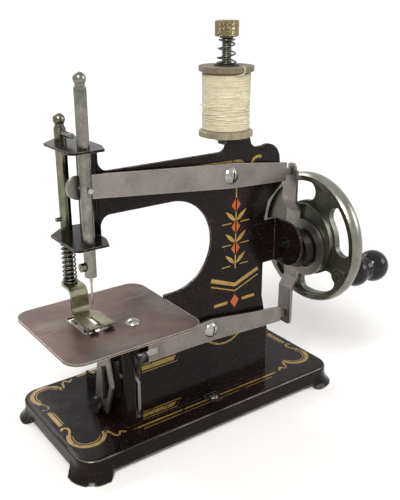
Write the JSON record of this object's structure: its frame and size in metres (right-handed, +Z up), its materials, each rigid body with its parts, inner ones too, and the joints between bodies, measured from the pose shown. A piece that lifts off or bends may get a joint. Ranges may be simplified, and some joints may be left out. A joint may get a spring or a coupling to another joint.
{
  "type": "toy sewing machine",
  "caption": "Hand-cranked toy sewing machine of pressed sheet metal: flat frame plate, twin levers, needle and presser bars, looper, cloth plate, spool and side handwheel.",
  "frame": {"origin": "middle of the underside of the outer box, on the floor the feet stand on", "axes": "+X to the handwheel end, +Y to the back, +Z up"},
  "size_m": [0.195, 0.1139, 0.2114],
  "materials": {
    "enamel": "gloss enamel, stoved",
    "tinplate": "bare sheet steel, stained",
    "lever_steel": "bare sheet steel, matt",
    "screw_steel": "turned, dull plate",
    "bar_nickel": "tarnished nickel plate",
    "needle_steel": "polished",
    "pin_steel": "threaded rod, dull",
    "spring_wire": "drawn wire",
    "wheel_nickel": "nickel plate on a casting",
    "brass": "dull, knurled",
    "knob_black": "gloss",
    "spool_wood": "turned, greyed",
    "thread": "cotton thread"
  },
  "bodies": {
    "frame": {"base": "enamel", "base_screws": "screw_steel", "base_nuts": "screw_steel", "frame": "enamel", "cloth_plate": "tinplate", "table_bracket": "enamel", "table_screw": "screw_steel", "table_nut": "screw_steel", "bracket_rivet": "screw_steel", "wall_rivet": "brass", "pivot_screws": "screw_steel", "pivot_washers": "lever_steel", "pivot_nuts": "screw_steel", "shaft_bearing": "lever_steel", "looper_bearing": "lever_steel", "spool_pin": "pin_steel", "spool_pin_nut": "screw_steel", "tension_washer": "pin_steel", "tension_spring": "spring_wire", "presser_spring": "spring_wire"},
    "link": {"link": "lever_steel"},
    "upper_lever": {"upper_lever": "lever_steel"},
    "needle": {"needle_bar": "bar_nickel", "needle": "needle_steel", "needle_clamp_screw": "screw_steel", "needle_bar_pin": "lever_steel"},
    "lower_lever": {"lower_lever": "lever_steel", "lever_drive_pin": "screw_steel"},
    "looper": {"looper_shaft": "screw_steel", "looper_arm": "lever_steel", "drive_arm": "lever_steel", "looper_bar": "lever_steel", "looper_hook": "bar_nickel", "feed_dog": "lever_steel"},
    "presser": {"presser_bar": "bar_nickel", "lift_pin": "bar_nickel", "presser_stud": "bar_nickel", "presser_foot": "bar_nickel"},
    "wheel": {"main_shaft": "bar_nickel", "eccentric": "lever_steel", "handwheel": "wheel_nickel", "crank_pin": "wheel_nickel"},
    "knob": {"knob": "knob_black"},
    "spool": {"spool": "spool_wood", "thread_winding": "thread"},
    "thumb_nut": {"thumb_nut": "brass"}
  },
  "joints": [
    {"name": "link_slide", "type": "slide", "parent": "frame", "child": "link", "axis": [0, 0, 1], "range_m": [-0.0001, 0.009]},
    {"name": "upper_lever_pivot", "type": "hinge", "parent": "frame", "child": "upper_lever", "pos_m": [0.01155, -0.01395, 0.1375], "axis": [0, 1, 0], "range_deg": [-12.4, 0.3]},
    {"name": "needle_bar_slide", "type": "slide", "parent": "frame", "child": "needle", "axis": [0, 0, 1], "range_m": [-0.0178, 0.0003]},
    {"name": "lower_lever_pivot", "type": "hinge", "parent": "frame", "child": "lower_lever", "pos_m": [-0.00035, -0.01395, 0.0547], "axis": [0, 1, 0], "range_deg": [-9.7, 0.2]},
    {"name": "looper_pivot", "type": "hinge", "parent": "frame", "child": "looper", "pos_m": [-0.05195, 0.0098, 0.0175], "axis": [1, 0, 0], "range_deg": [-0.2, 6.5]},
    {"name": "presser_lift", "type": "slide", "parent": "frame", "child": "presser", "axis": [0, 0, 1], "range_m": [0, 0.004], "stiffness_N_per_m": 150, "springref_m": -0.008, "deforming": ["presser_spring"]},
    {"name": "wheel_turn", "type": "hinge", "parent": "frame", "child": "wheel", "pos_m": [0.05845, -0.0204, 0.0961], "axis": [1, 0, 0], "continuous": true},
    {"name": "knob_spin", "type": "hinge", "parent": "wheel", "child": "knob", "pos_m": [0.08045, -0.04499, 0.08073], "axis": [1, 0, 0], "continuous": true},
    {"name": "spool_spin", "type": "hinge", "parent": "frame", "child": "spool", "pos_m": [0.01815, -0.0008, 0.171], "axis": [0, 0, 1], "continuous": true},
    {"name": "thumb_nut_turn", "type": "hinge", "parent": "frame", "child": "thumb_nut", "pos_m": [0.01815, -0.0008, 0.206], "axis": [0, 0, 1], "continuous": true}
  ],
  "couplings": [
    {"joint": "upper_lever_pivot", "follows": "link_slide", "rad_per_m": -23.64},
    {"joint": "needle_bar_slide", "follows": "link_slide", "ratio": -1.96},
    {"joint": "lower_lever_pivot", "follows": "link_slide", "rad_per_m": -18.456},
    {"joint": "looper_pivot", "follows": "link_slide", "rad_per_m": 12.19}
  ]
}
